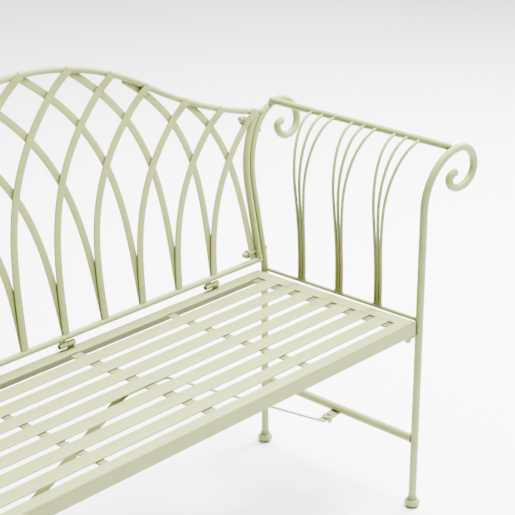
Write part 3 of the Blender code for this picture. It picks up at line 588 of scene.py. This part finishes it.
def add_tie(work, height, level, section, shift, weld):
    """A bar from the rear leg to the front one. level gives its height along, and weld a bead's sizes."""
    ends = (rear_lean(height) - LEG_RADIUS + BITE, LEG_RADIUS - BITE - LEG_SPACING)
    sweep(work, straight(*[(0, along, level(along)) for along in ends]), section, (0, 0, 1))
    for along, inward in zip(ends, (-shift, shift)):
        bead(work, (0, along + inward, level(along)), (0, 1, 0), *weld, (0, 0, 1))


def make_bearer(word):
    """The thin bar under the seat's side, which the rods stand on."""
    work = bmesh.new()
    add_tie(work, BEARER_HEIGHT, bearer_height, round_section(BEARER_RADIUS, 20), 0.0014,
            (0.0044, 0.0044, 0.0011))
    piece(f"seat_bearer_rod_{word}", work, ENDS[word], f"seat_bearer_{word}")


def make_stretcher(word, side):
    """The low side stretcher, with the tab that the brace is bolted to."""
    work = bmesh.new()
    add_tie(work, STRETCHER_HEIGHT, lambda along: STRETCHER_HEIGHT, round_section(STRETCHER_RADIUS), 0.0012,
            (0.0085, 0.0088, 0.0012))
    inward = [(-side * distance, BRACE_Y, TAB_TOP - TAB_THICKNESS / 2) for distance, size in TAB_TIP]
    sweep(work, inward, flat_section(TAB_THICKNESS, TAB_WIDTH, 0.0006),
          scales=[size for distance, size in TAB_TIP])
    piece(f"stretcher_tube_{word}", work, ENDS[word], f"side_stretcher_{word}")


def make_rods(word, side, number, foot_y, top_y):
    """A fan of three rods, with the welds at their feet and under the arm rail."""
    work = bmesh.new()
    width, height = ARM_OFFSET + SPINDLE_BOW, ARM_HEIGHT - TURN_FROM
    stop = math.acos(1 - (width - SPINDLE_SHORT) / width)
    base = bearer_height(foot_y) + BEARER_RADIUS - BITE
    line = [(0.0, base), (0.0, BOW_FROM)]
    for step in range(1, 17):
        line.append((-SPINDLE_BOW * ease(step / 16), BOW_FROM + (TURN_FROM - BOW_FROM) * step / 16))
    for step in range(1, 33):
        angle = stop * step / 32
        line.append((width * (1 - math.cos(angle)) - SPINDLE_BOW, TURN_FROM + height * math.sin(angle)))
    for rank in (-1, 0, 1):
        path = []
        for out, up in line:
            spread = (max(up - SPREAD_FROM, 0.0) / (ARM_HEIGHT - SPREAD_FROM)) ** SPREAD_POWER
            pitch = SPINDLE_PITCH_FOOT + (SPINDLE_PITCH_TOP - SPINDLE_PITCH_FOOT) * spread
            path.append((side * out, foot_y + (top_y - foot_y) * spread + rank * pitch, up))
        sweep(work, path, round_section(SPINDLE_RADIUS, 16))
        end = Vector(path[-1])
        towards = (end - Vector(path[-3])).normalized()
        bead(work, end - towards * 0.0030, towards, 0.0042, 0.0042, 0.0010)
    for between in (-0.5, 0.5):
        along = foot_y + between * SPINDLE_PITCH_FOOT
        sweep(work, straight((0, along, base), (0, along, base + 0.012), 6), round_section(0.0026, 10),
              scales=ROD_WELD_SIZES)
    bead(work, (0, foot_y, base + 0.0004), (0, 0, 1), 0.0042, 0.0118, 0.0013)
    piece(f"rods_{word}_{number}", work, ENDS[word], f"spindle_fan_{word}_{number}")


# ---- back panel --------------------------------------------------------------------------------
def make_top_rail():
    """The curved top rail, from leg to leg."""
    end = abs(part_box("back_top_rail")[1].x) - BITE
    work = bmesh.new()
    path = [(end * step / 90, 0.0, top_rail_rise(end * step / 90)) for step in range(-90, 91)]
    sweep(work, path, round_section(TOP_RAIL_RADIUS))
    piece("top_rail_tube", work, PANEL, "back_top_rail")


def add_bar(work, line, layer):
    """A lattice bar. In the front layer its top end steps forward and lies over the top rail."""
    path = []
    top = line[-1][1]
    for across, rise in line:
        step = min(max(1 - (top - rise) / STEP_LENGTH, 0.0), 1.0)
        forward = STEP_FORWARD * ease(step) if layer < 0 else 0.0
        path.append((across, layer * BAR_OFFSET - forward, rise))
    sweep(work, path, flat_section(BAR_WIDTH, BAR_THICKNESS))
    across, rise = line[0]
    bead(work, (across, layer * BAR_OFFSET, rise + 0.0016), (0, 0, 1), BAR_WIDTH / 2, 0.0022, 0.0009)


def make_upright(word, side):
    """An upright beside a rear leg, with the lattice's end bar: in front at the left, behind at the right."""
    work = bmesh.new()
    path = upright_path(side)
    sweep(work, path, round_section(UPRIGHT_RADIUS))
    if side < 0:
        add_bar(work, bar_line(-5, OVER_RAIL), -1)
    else:
        add_bar(work, mirrored(bar_line(-5, BEHIND_RAIL)), 1)
    bead(work, (path[0][0], 0, path[0][2] + 0.003), (0, 0, 1), 0.0079, 0.0074, 0.0012)
    piece(f"upright_tube_{word}", work, PANEL, f"back_upright_{word}")


def make_lattice_pair(index):
    """The front bar and the rear bar that share a foot."""
    work = bmesh.new()
    add_bar(work, bar_line(index, OVER_RAIL), -1)
    add_bar(work, mirrored(bar_line(-index, BEHIND_RAIL)), 1)
    piece(f"lattice_bars_{index + 5}", work, PANEL, f"lattice_pair_{index + 5}")


def add_sleeve(work, held_in, at, side, mate):
    """Half of a sleeve: a barrel open at its outer end, with a web up to the back or down to the seat."""
    inward = held_in.inverted()
    turn = inward.to_3x3()
    centre = Vector((at + side * (KNUCKLE_LENGTH / 2 + GAP), REAR_Y + KNUCKLE_Y, KNUCKLE_HEIGHT))
    half, soft = KNUCKLE_LENGTH / 2, 0.0006
    profile = [(0.0, -half), (KNUCKLE_RADIUS - soft, -half), (KNUCKLE_RADIUS, soft - half),
               (KNUCKLE_RADIUS, half - soft), (KNUCKLE_RADIUS - soft, half), (PIN_BORE + 0.0003, half),
               (PIN_BORE, half - 0.0003), (PIN_BORE, half - 0.006), (0.0, half - 0.006)]
    turned(work, profile, 32, turn @ Vector((side, 0, 0)), inward @ centre)
    web = [inward @ (centre + Vector((0, 0, mate * rise))) for rise in (0.003, 0.006, 0.009, 0.0125)]
    sweep(work, web, flat_section(KNUCKLE_LENGTH - 0.004, 0.005, 0.0012), turn @ Vector((0, 1, 0)))
    foot = inward @ (centre + Vector((0, 0, mate * 0.0062)))
    bead(work, foot, turn @ Vector((0, 0, 1)), (KNUCKLE_LENGTH - 0.003) / 2, 0.0030, 0.0011,
         turn @ Vector((0, 1, 0)))


def make_bottom_rail():
    """The back's bottom rail, with its half of each sleeve."""
    work = bmesh.new()
    path = straight((-BOTTOM_RAIL_HALF, 0, -BOTTOM_RAIL_DROP), (BOTTOM_RAIL_HALF, 0, -BOTTOM_RAIL_DROP), 40)
    sweep(work, path, round_section(BOTTOM_RAIL_RADIUS), (0, 0, 1))
    for at in KNUCKLE_AT.values():
        add_sleeve(work, PANEL, at, -1, 1)
    piece("bottom_rail_tube", work, PANEL, "back_bottom_rail")


def make_pin(word, at):
    """The pin through both halves of a sleeve."""
    work = bmesh.new()
    half, soft = KNUCKLE_LENGTH - 0.002, 0.0004
    profile = [(0.0, -half), (PIN_RADIUS - soft, -half), (PIN_RADIUS, soft - half), (PIN_RADIUS, half - soft),
               (PIN_RADIUS - soft, half), (0.0, half)]
    turned(work, profile, 24, (1, 0, 0), (at, KNUCKLE_Y, KNUCKLE_HEIGHT))
    piece(f"pin_{word}", work, BASE, f"hinge_pin_{word}", slot="hardware_paint", materials=(DARK_STEEL,))


# ---- seat --------------------------------------------------------------------------------------
def make_angle(length, width, mitres):
    """An angle rail with a rounded bend, soft edges and mitred ends."""
    work = bmesh.new()
    bend, thick, soft, fillet = 0.0036, ANGLE_THICKNESS, 0.0006, 0.001
    section = [(bend * (1 - math.cos(math.radians(turn))), -bend * (1 - math.sin(math.radians(turn))))
               for turn in range(0, 91, 15)]
    section += [(width - soft, 0.0), (width, -soft), (width, -thick + soft), (width - soft, -thick),
                (thick + fillet, -thick), (thick, -thick - fillet), (thick, -ANGLE_DROP + soft),
                (thick - soft, -ANGLE_DROP), (soft, -ANGLE_DROP), (0.0, -ANGLE_DROP + soft)]
    rings = []
    for mitre, x, sign in ((mitres[0], -length / 2, 1), (mitres[1], length / 2, -1)):
        rings.append([work.verts.new((x + sign * (inward * mitre / width + 0.0002), -inward, drop))
                      for inward, drop in section])
    faces = skin(work, rings)
    for face in faces[10:13]:           # painted shade: under the flange, the fillet and the upright leg's inner face
        face.material_index = 1
    work.faces.new(rings[0])
    work.faces.new(rings[1])
    return work


def make_seat_rail(word, length, width, mitres, where, turn):
    """A side of the seat frame. Left and right have a ledge under the slats' ends, the rear has sleeves. The
    ledge and the rail's inner faces carry painted shade.
    """
    spot = SEAT @ Matrix.Translation(where) @ Matrix.Rotation(math.radians(turn), 4, "Z")
    work = make_angle(length, width, mitres)
    if word in SIDES:
        half, ledge_at = SEAT_DEPTH / 2 - LEDGE_INSET, -(FLANGE_SIDE + LEDGE_PAST_FLANGE)
        # The ledge is in the darker paint: painted shade between the slats
        sweep(work, straight((-half, ledge_at, LEDGE_LEVEL), (half, ledge_at, LEDGE_LEVEL)),
              flat_section(LEDGE_WIDTH, ANGLE_THICKNESS), (0, 0, 1), material=1)
    if word == "rear":
        for at in KNUCKLE_AT.values():
            add_sleeve(work, spot, at, 1, -1)
    piece(f"seat_angle_{word}", work, spot, f"seat_rail_{word}", materials=(FRAME_PAINT, SHADED_PAINT))


def make_slat(number):
    """A flat slat between the side rails."""
    work = bmesh.new()
    along = SLAT_MIDDLE - SEAT_BACK + (SLATS + 1 - 2 * number) / 2 * SLAT_PITCH
    reach = SEAT_HALF - FLANGE_SIDE - SLAT_CLEARANCE
    path = [(reach * step / 20, along, -SLAT_THICKNESS / 2) for step in range(-20, 21)]
    sweep(work, path, flat_section(SLAT_WIDTH, SLAT_THICKNESS, 0.0009, 4), (0, 0, 1))
    piece(f"slat_{number}", work, SEAT, f"seat_slat_{number}")


def make_crossbar(word):
    """A flat bar under the slats, from the front rail to the rear rail, in a darker paint that is painted
    shade.
    """
    low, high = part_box(f"seat_crossbar_{word}")
    across, width = (low.x + high.x) / 2, high.x - low.x
    work = bmesh.new()
    sweep(work, straight((across, -CROSSBAR_INSET, CROSSBAR_LEVEL),
                         (across, -SEAT_DEPTH + CROSSBAR_INSET, CROSSBAR_LEVEL)),
          flat_section(width, SLAT_THICKNESS), (0, 0, 1))
    piece(f"crossbar_{word}", work, SEAT, f"seat_crossbar_{word}", materials=(UNDER_SHADE_PAINT,))


# ---- brace and fasteners -----------------------------------------------------------------------
def make_brace():
    """The arched strip from one stretcher's tab, up under the seat and down to the other."""
    low = TAB_TOP - BRACE_THICKNESS * 1.5 - GAP
    high = BRACE_TOP - BRACE_THICKNESS / 2
    corners = [(-BRACE_END, low), (-BRACE_SIDE, low), (-BRACE_FLAT, high),
               (BRACE_FLAT, high), (BRACE_SIDE, low), (BRACE_END, low)]
    outline = eased(corners, BRACE_BEND)
    strip = []
    for first, second in zip(outline, outline[1:]):
        count = max(1, round((second - first).length / 0.03))
        strip += [first.lerp(second, step / count) for step in range(count)]
    strip.append(Vector(corners[-1]))
    work = bmesh.new()
    sweep(work, [(across, BRACE_Y, up) for across, up in strip], flat_section(BRACE_WIDTH, BRACE_THICKNESS),
          (0, 0, 1))
    piece("brace_strip", work, BASE, "seat_brace")


def add_bolt(work, origin, axis, head, seat, washer=0.0095, cap=0.0065, dome=0.0062, spacer=0.0, seal=0.0):
    """A bolt with its domed head towards axis, then shank, any spacer, washer, dark seal and cap nut."""
    base, soft = -seat - spacer, 0.0004
    under_washer, shoulder = base - WASHER_THICKNESS, base - CAP_SHOULDER
    profile = []
    for step in range(7):
        angle = math.radians(15 * step)
        profile.append((dome * math.sin(angle), head + HEAD_RISE * math.cos(angle)))
    profile += [(dome, head - 0.0006), (BOLT_RADIUS, head - 0.0006)]
    if spacer:
        profile += [(BOLT_RADIUS, -seat), (SPACER_RADIUS - soft, -seat), (SPACER_RADIUS, -seat - soft),
                    (SPACER_RADIUS, base)]
    else:
        profile.append((BOLT_RADIUS, base))
    profile += [(washer - soft, base), (washer, base - soft), (washer, under_washer + soft),
                (washer - soft, under_washer), (cap - soft, under_washer), (cap, under_washer - soft),
                (cap, shoulder + 0.0008), (cap - 0.0006, shoulder)]
    for step in range(1, 9):
        angle = math.radians(90 * step / 8)
        profile.append(((cap - 0.0007) * math.cos(angle), shoulder - CAP_DOME * math.sin(angle)))
    turned(work, profile, 28, axis, origin)
    if seal:
        top, bottom = base + 0.0010, base - 0.0006
        ring = [(BOLT_RADIUS, top), (seal, top), (seal + soft, top - soft), (seal + soft, bottom + soft),
                (seal, bottom), (BOLT_RADIUS, bottom)]
        turned(work, ring, 28, axis, origin, material=1)


def make_back_bolt(word, side, level, out, rise, tilt, seat_at, spacer):
    """A bolt through a rear leg and its upright, square to the leg."""
    work = bmesh.new()
    add_bolt(work, (side * (LEG_X + out), 0, rise), (side * math.cos(tilt), 0, -math.sin(tilt)),
             LEG_RADIUS, seat_at, spacer=spacer, seal=SEAL_RADIUS)
    piece(f"back_bolt_{level}_{word}_set", work, PANEL, f"back_bolt_{level}_{word}", slot="hardware_paint",
          materials=(HARDWARE_PAINT, DARK_STEEL))


def make_brace_bolt(word, side):
    """The bolt through a stretcher's tab and the brace."""
    work = bmesh.new()
    add_bolt(work, (side * BRACE_BOLT_X, BRACE_Y, TAB_TOP), (0, 0, 1), 0.0006, 2 * BRACE_THICKNESS + 0.0006,
             washer=0.008, cap=0.0055)
    piece(f"brace_bolt_{word}_set", work, BASE, f"brace_bolt_{word}", slot="hardware_paint",
          materials=(HARDWARE_PAINT,))


def make_seat_bolt(word, side):
    """The stud from under the seat's front corner through the front leg's lug."""
    stud_top = SEAT_FRONT_HEIGHT - ANGLE_THICKNESS - 0.0035
    work = bmesh.new()
    add_bolt(work, (side * LUG_BOLT[0], LUG_BOLT[1], stud_top), (0, 0, 1), 0.0,
             stud_top - LUG_TOP + LUG_THICKNESS, washer=0.008, cap=0.0072, dome=0.0036)
    piece(f"seat_bolt_{word}_set", work, BASE, f"seat_bolt_{word}", slot="hardware_paint",
          materials=(HARDWARE_PAINT,))


# ---- the bench, put together -------------------------------------------------------------------
for word, side in SIDES.items():
    make_front_leg(word, side)
    make_rear_leg(word, side)
    make_foot(word, "rear", 0.0)
    make_foot(word, "front", -LEG_SPACING)
    make_arm_rail(word, side)
    make_bearer(word)
    make_stretcher(word, side)
    for number, (foot_y, top_y) in enumerate(SPINDLE_FANS, 1):
        make_rods(word, side, number, foot_y, top_y)

make_top_rail()
for word, side in SIDES.items():
    make_upright(word, side)
for index in range(-4, 5):
    make_lattice_pair(index)
make_bottom_rail()
for word, at in KNUCKLE_AT.items():
    make_pin(word, at)

make_seat_rail("rear", 2 * SEAT_HALF, FLANGE_REAR, (FLANGE_SIDE, FLANGE_SIDE), (0, 0, 0), 0)
make_seat_rail("front", 2 * SEAT_HALF, FLANGE_FRONT, (FLANGE_SIDE, FLANGE_SIDE), (0, -SEAT_DEPTH, 0), 180)
make_seat_rail("left", SEAT_DEPTH, FLANGE_SIDE, (FLANGE_FRONT, FLANGE_REAR),
               (-SEAT_HALF, -SEAT_DEPTH / 2, 0), 90)
make_seat_rail("right", SEAT_DEPTH, FLANGE_SIDE, (FLANGE_REAR, FLANGE_FRONT),
               (SEAT_HALF, -SEAT_DEPTH / 2, 0), -90)
for number in range(1, SLATS + 1):
    make_slat(number)
for word in KNUCKLE_AT:
    make_crossbar(word)

make_brace()
first_width, first_height = SCROLL_REAR[0]
HIGH_OUT = first_width * (1 - math.cos(HIGH_BOLT_ANGLE))
HIGH_RISE = to_panel(SCROLL_START_REAR + first_height * math.sin(HIGH_BOLT_ANGLE))
HIGH_TILT = math.atan2(first_width * math.sin(HIGH_BOLT_ANGLE),
                       first_height * math.cos(HIGH_BOLT_ANGLE) / math.cos(LEAN))
for word, side in SIDES.items():
    make_back_bolt(word, side, "lower", 0.0, to_panel(LOW_BOLT_HEIGHT), 0.0, LOW_SEAT, LOW_SPACER)
    make_back_bolt(word, side, "upper", HIGH_OUT, HIGH_RISE, HIGH_TILT, HIGH_SEAT, 0.0)
    make_brace_bolt(word, side)
    make_seat_bolt(word, side)

# ---- floor, light and camera -------------------------------------------------------------------
FLOOR_HALF = 14
FLOOR_WHITE = 0.93
SKY_STRENGTH = 0.50
AIM = Vector((0.15, -0.197, 0.664))
LAMPS = {"key": ((3.2, -0.2, 2.8), 1.3, 560),          # place, size in metres, watts
         "front": ((0.9, -1.3, 5.1), 1.6, 900),
         "top": ((1.7, 1.2, 3.9), 2.6, 760)}
CAMERA_AZIMUTH = math.radians(-46.98)
CAMERA_ELEVATION = math.radians(22.02)
CAMERA_DISTANCE = 2.871
CAMERA_LENS = 112.14                    # millimetres, on a sensor 36 mm wide


def facing(target, place):
    """The rotation of a lamp or camera at place that looks at target."""
    return (Vector(target) - Vector(place)).to_track_quat("-Z", "Y").to_euler()


def make_floor():
    """A plain pale floor."""
    mesh = bpy.data.meshes.new("floor")
    work = bmesh.new()
    bmesh.ops.create_grid(work, x_segments=1, y_segments=1, size=FLOOR_HALF)
    work.to_mesh(mesh)
    work.free()
    floor = bpy.data.objects.new("floor", mesh)
    bpy.context.scene.collection.objects.link(floor)
    material = bpy.data.materials.new("floor_white")
    material.use_nodes = True
    shader = material.node_tree.nodes["Principled BSDF"]
    shader.inputs["Base Color"].default_value = (FLOOR_WHITE, FLOOR_WHITE, FLOOR_WHITE, 1.0)
    shader.inputs["Roughness"].default_value = 0.9
    mesh.materials.append(material)


def make_light():
    """An even white sky, and three square soft lamps that face the bench."""
    world = bpy.data.worlds.new("studio")
    bpy.context.scene.world = world
    world.use_nodes = True
    sky = world.node_tree.nodes["Background"]
    sky.inputs["Color"].default_value = (1.0, 1.0, 1.0, 1.0)
    sky.inputs["Strength"].default_value = SKY_STRENGTH
    for name, (place, size, power) in LAMPS.items():
        data = bpy.data.lights.new(name, "AREA")
        data.size, data.energy = size, power
        lamp = bpy.data.objects.new(name, data)
        lamp.location = place
        lamp.rotation_euler = facing(AIM, place)
        bpy.context.scene.collection.objects.link(lamp)


def make_camera():
    """The camera, on the line of view towards AIM."""
    back = Vector((math.sin(CAMERA_AZIMUTH) * math.cos(CAMERA_ELEVATION),
                   -math.cos(CAMERA_AZIMUTH) * math.cos(CAMERA_ELEVATION), math.sin(CAMERA_ELEVATION)))
    data = bpy.data.cameras.new("camera")
    data.sensor_width = 36.0
    data.lens = CAMERA_LENS
    camera = bpy.data.objects.new("camera", data)
    camera.location = AIM + back * CAMERA_DISTANCE
    camera.rotation_euler = (-back).to_track_quat("-Z", "Y").to_euler()
    bpy.context.scene.collection.objects.link(camera)
    bpy.context.scene.camera = camera


make_floor()
make_light()
make_camera()
